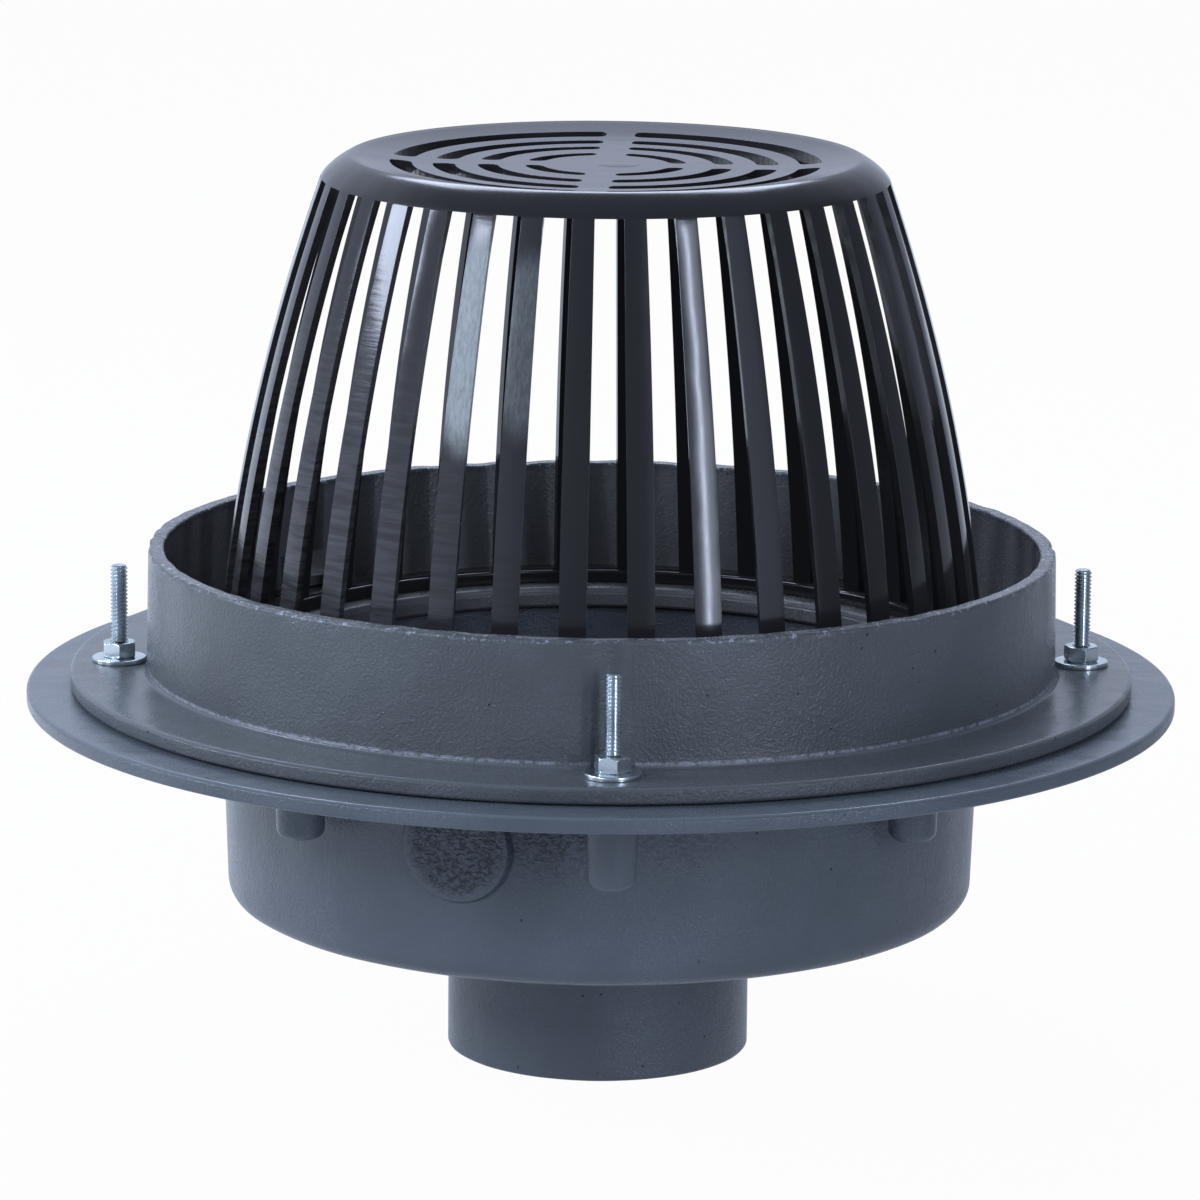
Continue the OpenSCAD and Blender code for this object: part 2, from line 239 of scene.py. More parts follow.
def outward(shell):
    """The shell with its faces pointing outwards, told by the sign of its volume."""
    v, q = shell
    a, b, c, d = (v[q[:, k]] for k in range(4))
    volume = np.einsum("ij,ij->i", a, np.cross(b, c)).sum() + np.einsum("ij,ij->i", a, np.cross(c, d)).sum()
    return (v, q) if volume > 0 else (v, q[:, ::-1])


def rotated(shell, angle):
    """The shell turned about Z by an angle in degrees."""
    turn = np.array(Matrix.Rotation(np.radians(angle), 3, "Z"))
    return shell[0] @ turn.T, shell[1]


def wobble(angles, size, seed, waves=(3, 40), count=14):
    """An uneven line around a casting: a sum of sines of whole frequencies, so that it closes on itself."""
    random = np.random.default_rng(seed)
    frequency = random.integers(*waves, count)
    phase = random.uniform(0, 2 * np.pi, count)
    a = np.radians(angles)[:, None]
    return size * np.sqrt(2 / count) * np.sin(frequency * a + phase).sum(1)


def smooth_min(a, b, radius):
    """The smaller of a and b, with the corner between them rounded over about the given radius."""
    h = np.clip(0.5 + 0.5 * (b - a) / radius, 0, 1)
    return b * (1 - h) + a * h - radius * h * (1 - h)


def capped_outline(outline, step):
    """An outline from the axis to the axis turned about Z, with a ray every step degrees. Its poles are
    welded."""
    return skin(turned(np.asarray(outline), np.arange(0, 360, step)), close_rows=False)


def swept(section, start, end, count):
    """A section (radius, height) carried around Z from start to end in degrees, and closed at both ends."""
    return capped(np.swapaxes(turned(section, np.linspace(start, end, count)), 0, 1))


def crowded(spots, half, fine, coarse):
    """Angles around a full turn: one every coarse degrees, and every fine degrees within half of each
    spot."""
    angles = [np.arange(0, 360, coarse)] + [np.arange(s - half, s + half + fine / 2, fine) for s in spots]
    return np.unique(np.round(np.concatenate(angles) % 360, 4))


def added(name, data):
    """A new object that holds the data, in the scene at its origin."""
    obj = bpy.data.objects.new(name, data)
    bpy.context.scene.collection.objects.link(obj)
    return obj


def piece(name, shells, finish, body, slot, node, bevel=0, sharp=40):
    """A mesh object from closed shells: merged at its poles, smooth up to the sharp angle, set on its body,
    and in the place of its node."""
    v, q = joined([outward(s) for s in shells])
    mesh = bpy.data.meshes.new(name)
    mesh.vertices.add(len(v))
    mesh.vertices.foreach_set("co", v.ravel())
    mesh.loops.add(q.size)
    mesh.loops.foreach_set("vertex_index", q.ravel())
    mesh.polygons.add(len(q))
    mesh.polygons.foreach_set("loop_start", np.arange(0, q.size, 4))
    mesh.update(calc_edges=True)
    mesh.validate()
    obj = added(name, mesh)
    weld = obj.modifiers.new("Closed poles", "WELD")
    weld.merge_threshold = 0.01 * MM
    mesh.shade_smooth()
    mesh.set_sharp_from_angle(angle=np.radians(sharp))
    if bevel:
        rounding = obj.modifiers.new("Round edges", "BEVEL")
        rounding.width = bevel
        rounding.segments = 3
        rounding.limit_method = "ANGLE"
        rounding.angle_limit = np.radians(sharp)
        rounding.harden_normals = True
    mesh.materials.append(finish)
    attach(obj, body)
    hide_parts(node)


# ---------------------------------------------------------------- finishes

class Wire:
    """A shader socket that adds Math nodes when it is used in an expression."""

    def __init__(self, finish, socket):
        self.finish, self.socket = finish, socket

    def _math(self, operation, first, second):
        return self.finish.node("Math", {0: first, 1: second}, {"operation": operation}).out()

    def __add__(self, other):
        return self._math("ADD", self, other)

    __radd__ = __add__

    def __sub__(self, other):
        return self._math("SUBTRACT", self, other)

    def __rsub__(self, other):
        return self._math("SUBTRACT", other, self)

    def __mul__(self, other):
        return self._math("MULTIPLY", self, other)

    __rmul__ = __mul__

    def at_least(self, other):
        return self._math("MAXIMUM", self, other)


class Placed:
    """A node that has been placed, with its outputs as wires."""

    def __init__(self, finish, node):
        self.finish, self.node = finish, node

    def out(self, key=0):
        return Wire(self.finish, self.node.outputs[key])


class Finish:
    """The node tree of a material or of the world. Every node is added by its one method, node."""

    def __init__(self, owner):
        owner.use_nodes = True
        self.owner, self.tree = owner, owner.node_tree
        self.tree.nodes.clear()

    def node(self, kind, inputs=None, settings=None):
        """Adds a shader node of a kind. Its settings are set first, with a ramp's stops under "stops", and
        then the values or wires of its sockets."""
        node = self.tree.nodes.new("ShaderNode" + kind)
        for key, value in (settings or {}).items():
            if key == "stops":
                self._stops(node.color_ramp.elements, value)
            else:
                setattr(node, key, value)
        for key, value in (inputs or {}).items():
            if isinstance(value, Wire):
                self.tree.links.new(value.socket, node.inputs[key])
            else:
                node.inputs[key].default_value = value
        return Placed(self, node)

    @staticmethod
    def _stops(elements, stops):
        while len(elements) < len(stops):
            elements.new(1)
        for element, (position, level) in zip(elements, stops):
            element.position = position
            element.color = (level, level, level, 1)

    def place(self):
        """Where a point of the surface lies, in metres from the foot of the drain's axis."""
        return self.node("TexCoord").out("Object")

    def axes(self, place):
        """A place taken apart into its outputs X, Y and Z."""
        return self.node("SeparateXYZ", {"Vector": place})

    def surface(self, base, gloss, normal, metal=0.0):
        """Ends a material's tree with its shader, and gives the material back."""
        shader = self.node("BsdfPrincipled", {
            "Base Color": base, "Roughness": gloss, "Normal": normal, "Metallic": metal, "IOR": 1.5})
        self.node("OutputMaterial", {"Surface": shader.out("BSDF")})
        return self.owner

    def either(self, factor, first, second):
        """Two shaders mixed."""
        return self.node("MixShader", {0: factor, 1: first.out(), 2: second.out()})

    def noise(self, place, scale, detail=2, roughness=0.5, distortion=0):
        """Noise at a place, with its grains about 1 / scale metres wide, from 0 to 1."""
        return self.node("TexNoise", {
            "Vector": place, "Scale": scale, "Detail": detail, "Roughness": roughness,
            "Distortion": distortion}).out("Fac")

    def ramp(self, value, stops):
        """A value passed through a ramp of (position, level) stops."""
        return self.node("ValToRGB", {"Fac": value}, {"stops": stops}).out("Color")

    def span(self, value, low, high, to_low=0.0, to_high=1.0):
        """A value moved smoothly from low..high to to_low..to_high, and held beyond."""
        return self.node("MapRange", {
            "Value": value, "From Min": low, "From Max": high, "To Min": to_low, "To Max": to_high},
            {"interpolation_type": "SMOOTHSTEP"}).out("Result")

    def mixed(self, factor, first, second):
        """Two colours mixed."""
        return self.node("Mix", {"Factor": factor, 6: first, 7: second}, {"data_type": "RGBA"}).out(2)

    def bump(self, height, distance):
        """A normal from a height. The distance is how high a height of 1 stands, in metres."""
        return self.node("Bump", {"Height": height, "Distance": distance, "Strength": 1.0}).out("Normal")

    def absolute(self, value):
        """How far a value is from nothing."""
        return self.node("Math", {0: value}, {"operation": "ABSOLUTE"}).out()

    def stretched(self, place, scale):
        """A place with its axes scaled, for a pattern that is drawn out in one direction."""
        return self.node("Mapping", {"Vector": place, "Scale": scale}).out("Vector")

    def radius(self, place):
        """Distance of a place from the drain's axis."""
        level = self.node("VectorMath", {0: place, 1: (1, 1, 0)}, {"operation": "MULTIPLY"}).out()
        return self.node("VectorMath", {0: level}, {"operation": "LENGTH"}).out("Value")

    def near(self, place, centre, inner, outer):
        """1 within inner metres of a centre, falling smoothly to 0 at outer."""
        distance = self.node("VectorMath", {0: place, 1: centre}, {"operation": "DISTANCE"}).out("Value")
        return self.span(distance, inner, outer, 1.0, 0.0)


def rgba(values, scale=1.0):
    """A colour with its alpha, and lighter or darker by a scale."""
    return tuple(v * scale for v in values) + (1.0,)


def polar(radius, angle, height):
    """The point at a radius, an angle in degrees from +X, and a height."""
    return Vector((radius * np.cos(np.radians(angle)), radius * np.sin(np.radians(angle)), height))


def enamel_finish(name, enamel, level, rough_spots=(), worn_glinting_edge=None):
    """Enamel over rough cast iron: an orange peel on the walls, calmer where the casting lies level and
    lighter there as a painted top light, and small dark specks. The body also has spots that are cast much
    rougher, each a (centre, inner radius, outer radius, depth), with painted shade darkening their pits, and
    a stain.
    The ring also has pale flecks along its top edge, partly worn enamel and partly painted glints, a painted
    highlight along its root, and a pale dusty tone inside the guard that is also painted light on its shaded
    inside."""
    finishes = bpy.context.scene.drain_finishes
    f = Finish(bpy.data.materials.new(name))
    place = f.place()
    height = f.axes(place).out("Z")
    level_and_top_lit = f.span(f.absolute(height - level), 0.4 * MM, 1.2 * MM, 1.0, 0.0)
    peel, grain = f.noise(place, 750, 3, 0.6), f.noise(place, 1600, 2, 0.6)
    pits = f.noise(f.stretched(place, (540, 540, 760)), 1.0, 3, 0.6, 0.5)
    wear_and_glint_noise, swell, shade = f.noise(place, 330, 3, 0.7), f.noise(place, 40, 2), f.noise(place, 24, 3)
    pitted = 0.0
    for centre, inner, outer, depth in rough_spots:
        pitted = f.near(place, centre, inner, outer) * depth + pitted
    relief = peel * 0.42 + grain * 0.2 + pits * pitted * 2.0
    field = f.node("TexVoronoi", {"Vector": place, "Scale": 150.0, "Randomness": 1.0})
    specks = f.span(field.out("Distance"), 0.05, 0.09, 1.0, 0.0) * f.span(field.out("Color"), 0.62, 0.66)
    normal = f.bump(relief * (1.0 - level_and_top_lit * 0.8) + swell - specks * 0.3, 1.0 * MM)
    base = f.mixed(f.span(shade, 0.3, 0.7), rgba(enamel, 0.9), rgba(enamel, 1.1))
    # painted top light: level faces are mixed lighter, standing in for the light they catch from above
    base = f.mixed(level_and_top_lit, base, rgba(enamel, 1.35))
    base = f.mixed(specks, base, rgba(enamel, 0.2))
    if rough_spots:
        # painted shade: the pits of the rough spots are darkened as if shaded in their hollows
        base = f.mixed(f.span(pits, 0.53, 0.43) * pitted, base, rgba(enamel, 0.25))
        by_the_rim = (-199 * MM, 20 * MM, DECK)
        stain = f.near(place, by_the_rim, 3 * MM, 9 * MM) * f.span(wear_and_glint_noise, 0.3, 0.6)
        base = f.mixed(stain * 0.6, base, rgba(finishes.stain))
    if worn_glinting_edge is not None:
        radius = f.radius(place)
        # pale flecks along the guard's top edge: partly worn enamel, partly painted glints
        flecks_and_glints = f.span(wear_and_glint_noise, 0.56, 0.66) * f.span(height, worn_glinting_edge - 2.0 * MM, worn_glinting_edge - 0.4 * MM)
        root_height = level + 1.7 * MM    # where the guard's wall rises from the ring
        # painted highlight: a pale broken line along the guard's root, where the fillet would catch light
        root = f.span(f.absolute(height - root_height), 0.3 * MM, 0.8 * MM, 1.0, 0.0)
        root = root * f.span(radius, 163 * MM, 164 * MM) * f.span(wear_and_glint_noise, 0.36, 0.62)
        base = f.mixed(flecks_and_glints.at_least(root * 0.6), base, rgba(finishes.fleck_and_highlight))
        # pale dusty tone inside the guard, which also lifts its shaded inside as painted light
        inside = f.span(radius, 162 * MM, 160 * MM) * f.span(height, worn_glinting_edge - 1 * MM, worn_glinting_edge - 4 * MM)
        base = f.mixed(inside * 0.3, base, rgba(finishes.dust_and_fill_light))
    gloss = finishes.enamel_gloss + f.span(grain, 0.3, 0.7, -0.03, 0.06) + f.span(shade, 0.3, 0.7, 0.0, 0.05)
    return f.surface(base, gloss, normal)


def plastic_finish():
    """Glossy black polyethylene: faint ripples across the bars, stronger at the left, two patches in front
    that are scuffed matt with fine scratches and mixed pale, partly real scuffing and partly a painted
    reflection of the front left softbox, and a satin top."""
    finishes = bpy.context.scene.drain_finishes
    f = Finish(bpy.data.materials.new("black polyethylene"))
    place = f.place()
    ripple = f.noise(f.stretched(place, (60, 60, 620)), 1.0, 2)
    swell = f.noise(place, 30, 2)
    scratch = f.noise(f.stretched(place, (1000, 700, 130)), 1.0, 3, 0.7)
    tall, taller = 0.8, 0.22    # heights are shrunk by these, so that a round patch becomes a tall one
    rippled = f.near(f.stretched(place, (1, 1, tall)), polar(0.13, -150, (DECK + 0.03) * tall), 0.04, 0.12)
    low, on_bars, middle = f.stretched(place, (1, 1, taller)), 117 * MM, (DECK + 0.15) * taller
    rubbed_and_sheen = f.near(low, polar(on_bars, -114.4, middle), 10 * MM, 15 * MM)
    rubbed_and_sheen = rubbed_and_sheen + f.near(low, polar(on_bars, -105, middle), 8 * MM, 13 * MM) * 0.3
    satin = f.span(f.axes(place).out("Z"), DOME_HIGH.z - 9 * MM, DOME_HIGH.z - 5 * MM)
    scored = f.span(scratch, 0.3, 0.7)
    normal = f.bump(ripple * (0.04 + rippled * 0.16) + swell * 0.6 + scratch * rubbed_and_sheen * 0.1, 0.5 * MM)
    gloss = finishes.plastic_gloss + satin * 0.05 + rubbed_and_sheen * 0.26 + rippled * 0.12 + scored * 0.04
    base = f.mixed(rippled * f.span(ripple, 0.3, 0.7), rgba(finishes.plastic), rgba(finishes.plastic, 3.0))
    # the scuffed patches are mixed pale: partly real scuffing, partly a painted reflection of the front left
    # softbox
    base = f.mixed(rubbed_and_sheen * (scored * 0.4 + 0.5), base, rgba(finishes.rubbed_and_sheen))
    return f.surface(base, gloss, normal)


def zinc_finish():
    """Bright zinc plating with a faint cloudy passivation."""
    zinc = bpy.context.scene.drain_finishes.zinc
    f = Finish(bpy.data.materials.new("zinc plate"))
    place = f.place()
    cloud = f.noise(place, 90, 2)
    base = f.mixed(f.span(cloud, 0.35, 0.65), rgba(zinc, 0.95), rgba(zinc, 1.08))
    gloss = f.span(cloud, 0.3, 0.7, 0.16, 0.26)
    return f.surface(base, gloss, f.bump(f.noise(place, 900, 2), 0.02 * MM), metal=1.0)


# ---------------------------------------------------------------- pieces

def boss_outline(sizes, hole=0.0, hole_depth=0.0):
    """Outline of a boss that hangs from the flange: a blind hole with a chamfered mouth, a rounded end, a
    drafted side and a flared root."""
    end, top = DECK - sizes.boss_depth, DECK - sizes.flange_thickness / 2
    nose, draft, flare, chamfer = 3.5 * MM, 0.5 * MM, 2.5 * MM, 0.4 * MM
    end_radius, flange_low = sizes.boss_radius - draft, DECK - sizes.flange_thickness - 0.6 * MM
    inner = [(0, end + hole_depth), (hole, end + hole_depth), (hole, end + chamfer), (hole + chamfer, end)]
    return np.concatenate([
        inner if hole else [(0, end)],
        arc((end_radius - nose, end + nose), nose, -90, 0),
        arc((sizes.boss_radius + flare, flange_low - flare), flare, 180, 90, 5),
        [(0, top)],
    ])


class DRAIN_OT_body(Operator):
    """Skins the body casting: spigot, sump, deck flange, bosses, under-deck lugs and the round pad"""

    bl_idname = "drain.body"
    bl_label = "Body casting"

    def outline(self, s):
        """Half section of the body, with an arc on every edge."""
        low, high = BODY_LOW.z, DECK
        sump_low, low_radius = high - s.sump_depth, s.sump_radius - s.sump_draft
        bore, floor = s.spigot_radius - s.spigot_wall, high - s.sump_depth + s.sump_wall
        root, rim = high - s.flange_root, BODY_HIGH.x - s.edge_radius
        neck, corner, mouth, fall, edge = 4 * MM, 8 * MM, 0.8 * MM, 2 * MM, s.edge_radius
        seat = STUD_CIRCLE + s.boss_radius + 2 * MM
        return np.concatenate([
            arc((bore + mouth, low + mouth), mouth, 180, 270, 4),
            arc((s.spigot_radius - edge, low + edge), edge, -90, 0),
            arc((s.spigot_radius + neck, sump_low - neck), neck, 180, 90),
            arc((low_radius - corner, sump_low + corner), corner, -90, 0, 12),
            arc((s.sump_radius + neck, root - neck), neck, 180, 90),
            [(seat, high - s.flange_thickness)],
            arc((rim, high - s.flange_thickness + edge), edge, -90, 0),
            arc((rim, high - edge), edge, 0, 90),
            arc((s.sump_radius - s.sump_wall + edge, high - edge), edge, 90, 180),
            arc((low_radius - s.sump_wall - corner, floor + corner), corner, 0, -90, 12),
            arc((bore + neck, floor - fall - neck), neck, 90, 180),
        ])

    def pad(self, s):
        """The round pad: its own outline turned about a level axis, so that height becomes distance from the
        drain's axis."""
        face, back, foot = s.sump_radius + 0.8 * MM, s.sump_radius - 13.2 * MM, s.sump_radius - 2.4 * MM
        edge, skirt = 0.9 * MM, s.pad_radius + 1.2 * MM
        v, q = capped_outline(np.concatenate([
            [(0, back), (skirt, back), (skirt, foot)],
            arc((s.pad_radius - edge, face - edge), edge, 0, 90),
            [(s.pad_radius * 0.5, face), (0, face)],
        ]), 4)
        return rotated((np.column_stack([v[:, 2], v[:, 0], DECK - s.pad_drop + v[:, 1]]), q), PAD_TURN)

    def web(self, s):
        """The web between a lug and the sump: an upright box whose two rows of corners are its lower and
        upper ends."""
        half, near, far = 4 * MM, s.sump_radius - 4 * MM, s.lug_circle
        corners = [(near, -half), (far, -half), (far, half), (near, half)]
        ends = DECK - s.boss_depth + s.boss_radius, DECK - s.flange_thickness / 2
        return capped(np.array([[(x, y, z) for x, y in corners] for z in ends]))

    def execute(self, context):
        s = context.scene.drain_castings
        angles = np.arange(0, 360, 1.25)
        outline = spaced(self.outline(s), 3 * MM)
        shell = turned(outline, angles)
        mean_radius, rim = 0.15, BODY_HIGH.x - 4 * MM
        uneven = 1 + wobble(angles, 0.12 * MM, 4, (2, 18))[None, :, None] / mean_radius
        shell[..., :2] *= np.where((outline[:, 0] < rim)[:, None, None], uneven, 1.0)
        boss = capped_outline(boss_outline(s), 5)
        lug = capped_outline(boss_outline(s, hole=4 * MM, hole_depth=18 * MM), 5)
        shells = [skin(shell), self.pad(s)]
        for angle in SIDES:
            shells.append(rotated((boss[0] + (STUD_CIRCLE, 0, 0), boss[1]), angle))
        for angle in CORNERS:
            shells.append(rotated((lug[0] + (s.lug_circle, 0, 0), lug[1]), angle))
            shells.append(rotated(self.web(s), angle))
        pad = polar(s.sump_radius, PAD_TURN, DECK - s.pad_drop)
        beside = polar(s.sump_radius, -98, DECK - 16 * MM)
        past = polar(s.sump_radius, -80, DECK - 10 * MM)
        finish = enamel_finish("enamel body", context.scene.drain_finishes.body_enamel_lit, DECK, (
            (pad, 14 * MM, 20 * MM, 1.0), (beside, 8 * MM, 32 * MM, 0.9), (past, 6 * MM, 42 * MM, 0.55)))
        piece("body_casting", shells, finish, "drain", "casting_enamel", "drain_body")
        return {"FINISHED"}


class DRAIN_OT_clamp_ring(Operator):
    """Skins the clamp ring with its gravel guard, flutes, ledge and hooks"""

    bl_idname = "drain.clamp_ring"
    bl_label = "Clamp ring"

    def top(self, s):
        """Height of the ring's flat top."""
        return RING_LOW.z + BEAD_HEIGHT + s.ring_thickness

    def outline(self, s):
        """Half section of the ring: beads below, rim, guard wall, rounded top, and the ledge inside."""
        low, top = RING_LOW.z + BEAD_HEIGHT, self.top(s)
        edge, root, seat, lip, inner_edge = s.edge_radius, 2.2 * MM, 2.5 * MM, 2 * MM, 1 * MM
        rim = RING_HIGH.x - edge
        base, inner = s.guard_radius + GUARD_DRAFT, s.guard_radius - s.guard_wall
        wall, guard_top = inner - GUARD_DRAFT, RING_HIGH.z
        beads = [(r + side * 1.5 * MM, low - drop) for r in (0.143, 0.186)
                 for side, drop in ((-1, 0), (-0.8, BEAD_HEIGHT), (0.8, BEAD_HEIGHT), (1, 0))]
        return np.concatenate([
            [(s.throat_radius + 1 * MM, low)], beads,
            arc((rim, low + edge), edge, -90, 0),
            arc((rim, top - edge), edge, 0, 90),
            arc((base + root, top + root), root, 270, 180),
            arc((s.guard_radius - edge, guard_top - edge), edge, 0, 90),
            arc((inner + inner_edge, guard_top - inner_edge), inner_edge, 90, 180),
            arc((wall - seat, LEDGE + seat), seat, 0, -90),
            arc((s.throat_radius + lip, LEDGE - lip), lip, 90, 180),
            [(s.throat_radius, low + 1 * MM)],
        ])

    def flute(self, s, angles):
        """Largest radius the guard may have at each angle: the near side of a round cutter on the stud's
        axis, or a metre where no cutter reaches."""
        off = np.radians((np.asarray(angles) + 45) % 90 - 45)
        across = STUD_CIRCLE * np.sin(off)
        inside = np.abs(across) < s.flute_radius
        depth = np.sqrt(np.where(inside, s.flute_radius ** 2 - across ** 2, 0))
        return np.where(inside, STUD_CIRCLE * np.cos(off) - depth, 1.0)

    def hook(self, s):
        """A hook inside the guard: a sloped nose over the dome's tab, with a stop that goes down to the
        ledge."""
        inner = s.guard_radius - s.guard_wall
        rooted = 1 * MM    # how far the hook goes into the wall and its stop into the ledge
        nose, root, under = 149.4 * MM, inner + rooted, LEDGE + 5 * MM
        nose_top, root_top, shelf = under + 3.6 * MM, under + 11 * MM, 3 * MM
        section = np.array([(nose, under), (root, under), (root, root_top), (root - shelf, root_top),
                            (nose, nose_top)])
        stop = np.array([(nose, LEDGE - rooted), (root, LEDGE - rooted), (root, under + rooted),
                         (nose, under + rooted)])
        half, stop_angle = s.hook_angle / 2, 2.4
        return [swept(section, -half, half, 7), swept(stop, -half, -half + stop_angle, 4)]

    def execute(self, context):
        s = context.scene.drain_castings
        angles = crowded([a % 360 for a in SIDES], 5, 0.2, 1.25)
        outline = spaced(self.outline(s), 2.5 * MM)
        r, z = outline[:, :1], outline[:, 1:]
        guard = (z > self.top(s) - 0.01 * MM) & (r > s.guard_radius - 4 * MM) & (r < s.guard_radius + 5 * MM)
        uneven_height, flute_edge = 3 * MM, 0.5 * MM
        crown = np.clip((z - RING_HIGH.z + uneven_height) / uneven_height, 0, 1)
        radius = r + crown * guard * wobble(angles, 0.22 * MM, 2, (5, 90), 30)
        radius = np.where(guard, smooth_min(radius, self.flute(s, angles)[None, :], flute_edge), radius)
        height = z + crown * (r > 0.155) * wobble(angles, 0.12 * MM, 9, (5, 70), 24)
        shells = [skin(around(radius, angles, height))]
        for angle in CORNERS:
            shells += [rotated(part, angle) for part in self.hook(s)]
        finish = enamel_finish("enamel ring", context.scene.drain_finishes.ring_enamel, self.top(s),
                               worn_glinting_edge=RING_HIGH.z)
        piece("clamp_ring_casting", shells, finish, "drain", "casting_enamel", "clamp_ring")
        return {"FINISHED"}


class DRAIN_OT_dome(Operator):
    """Skins the dome strainer: bowed bars, shoulder, slotted plate, foot ring and locking tabs"""

    bl_idname = "drain.dome"
    bl_label = "Dome strainer"

    def plate_top(self, s, r):
        """Height of the plate: level inside the dish radius, and rising as a square to the crest."""
        climb = np.clip((r - s.dish_radius) / (s.crest_radius - s.dish_radius), 0, None)
        return DOME_HIGH.z - s.plate_drop * (1 - climb ** 2)

    def shoulder(self, start, run, rise, a):
        """A flattened quarter ellipse: (r - run + run cos(a)^form, z + rise sin(a)^form). A form of 1 would
        make it round, and 2 a flat bevel."""
        form = 1.57
        across, up = run * np.cos(a) ** form, rise * np.sin(a) ** form
        return np.column_stack([start[0] - run + across, start[1] + up])

    def profile(self, s):
        """Outer and inner line of the wall as equal rows of (radius, height), from the foot up to the crest
        and in to the middle, with the rows where a gap opens and closes and where the first slot begins. A
        bar's line is foot + (shoulder - foot) t + 4 bow t (1 - t)."""
        low, high = LEDGE, DECK + s.shoulder_height
        z = np.concatenate([[low + 4 * MM, low + 5.6 * MM], np.linspace(low + 12 * MM, high, 22)])
        t = (z - low) / (high - low)
        bar_r = s.foot_radius + (s.shoulder_radius - s.foot_radius) * t + 4 * s.bar_bow * t * (1 - t)
        a = np.radians([10.5, 18, 26, 35, 45, 55, 64, 73, 82, 90])
        run, rise = s.shoulder_radius - s.crest_radius, DOME_HIGH.z - high
        inner_start = (s.shoulder_radius - s.bar_depth, high)
        under = s.crest_radius - 3.6 * MM    # where the inner line is at its highest
        inner_run = inner_start[0] - under
        inner_rise = self.plate_top(s, under) - s.plate_thickness - inner_start[1]
        middle, half = self.slots(s)
        corner = s.slot_corner * np.array([0, 0.134, 0.5, 1])
        slot_outer, slot_inner = (middle + half)[:, None], (middle - half)[:, None]
        slot_rows = np.concatenate([slot_outer - corner, slot_inner + corner[::-1]], 1).ravel()
        dish = np.concatenate([np.linspace(s.crest_radius, slot_rows[0], 6)[1:5], slot_rows, [12 * MM, 0]])
        dish_under = dish.copy()
        dish_under[:4] = np.linspace(under, slot_rows[0], 6)[1:5]
        outer = np.concatenate([
            np.column_stack([bar_r, z]),
            self.shoulder((s.shoulder_radius, high), run, rise, a),
            np.column_stack([dish, self.plate_top(s, dish)])])
        inner = np.concatenate([
            np.column_stack([bar_r - s.bar_depth, z]),
            self.shoulder(inner_start, inner_run, inner_rise, a),
            np.column_stack([dish_under, self.plate_top(s, dish_under) - s.plate_thickness])])
        opening, closing, first_slot = 1, len(z), len(z) + len(a) + 4
        return outer, inner, opening, closing, first_slot

    def slots(self, s):
        """Middle radius and half width of the four rings of slots, outermost first."""
        return np.array([74, 58.5, 42.8, 26.4]) * MM, (s.slot_width - np.array([0, 0, 0.8, 1.8]) * MM) / 2

    def columns(self, s, outer, opening, closing, first_slot, draft):
        """Angle of every grid point, in degrees. On the bars each pitch has six cells across a bar and one
        for the gap, which is wider by the draft on each side, and by nothing where it closes. On the plate
        each quarter has one cell for a spoke, whose half angle is arcsin(half width / r), and it is wider at
        a slot's corners by corner - root(corner^2 - past^2). Between them the angles change over evenly."""
        pitch = 360 / s.bar_count
        across = np.array([0, 0.1, 0.3, 0.5, 0.7, 0.9, 1.0])
        r, z = outer[:, 0], outer[:, 1]
        part = np.clip((z - z[opening]) / (z[closing] - z[opening]), 0, 1)
        wider = draft * np.clip((closing - np.arange(len(r))) / 3, 0, 1)
        gap = (s.gap_foot + (s.gap_top - s.gap_foot) * part) / 2 + wider
        half_gap = np.degrees(np.arcsin(gap / np.maximum(r, 90 * MM)))
        half_gap[closing:] = half_gap[closing]
        bar = half_gap[:, None] + (pitch - 2 * half_gap)[:, None] * across
        starts = np.arange(s.bar_count) * pitch + pitch / 2
        on_wall = (starts[None, :, None] + bar[:, None, :]).reshape(len(r), -1)
        count = on_wall.shape[1] // 4
        middle, width = self.slots(s)
        inside = (width - np.abs(r[:, None] - middle)).max(1)
        past = np.where(inside > -0.001 * MM, np.clip(s.slot_corner - inside, 0, s.slot_corner), 0)
        end = s.slot_corner - np.sqrt(s.slot_corner ** 2 - past ** 2)
        half = np.degrees(np.arcsin(np.minimum((s.spoke_width / 2 + end) / np.maximum(r, MM), 0.5)))
        quarter = half[:, None] + (90 - 2 * half)[:, None] * np.linspace(0, 1, count)
        on_plate = (np.arange(0, 360, 90)[None, :, None] + quarter[:, None, :]).reshape(len(r), -1)
        blend = np.clip((np.arange(len(r)) - closing - 2) / (first_slot - closing - 2), 0, 1)[:, None]
        return on_wall * (1 - blend) + on_plate * blend + s.turn

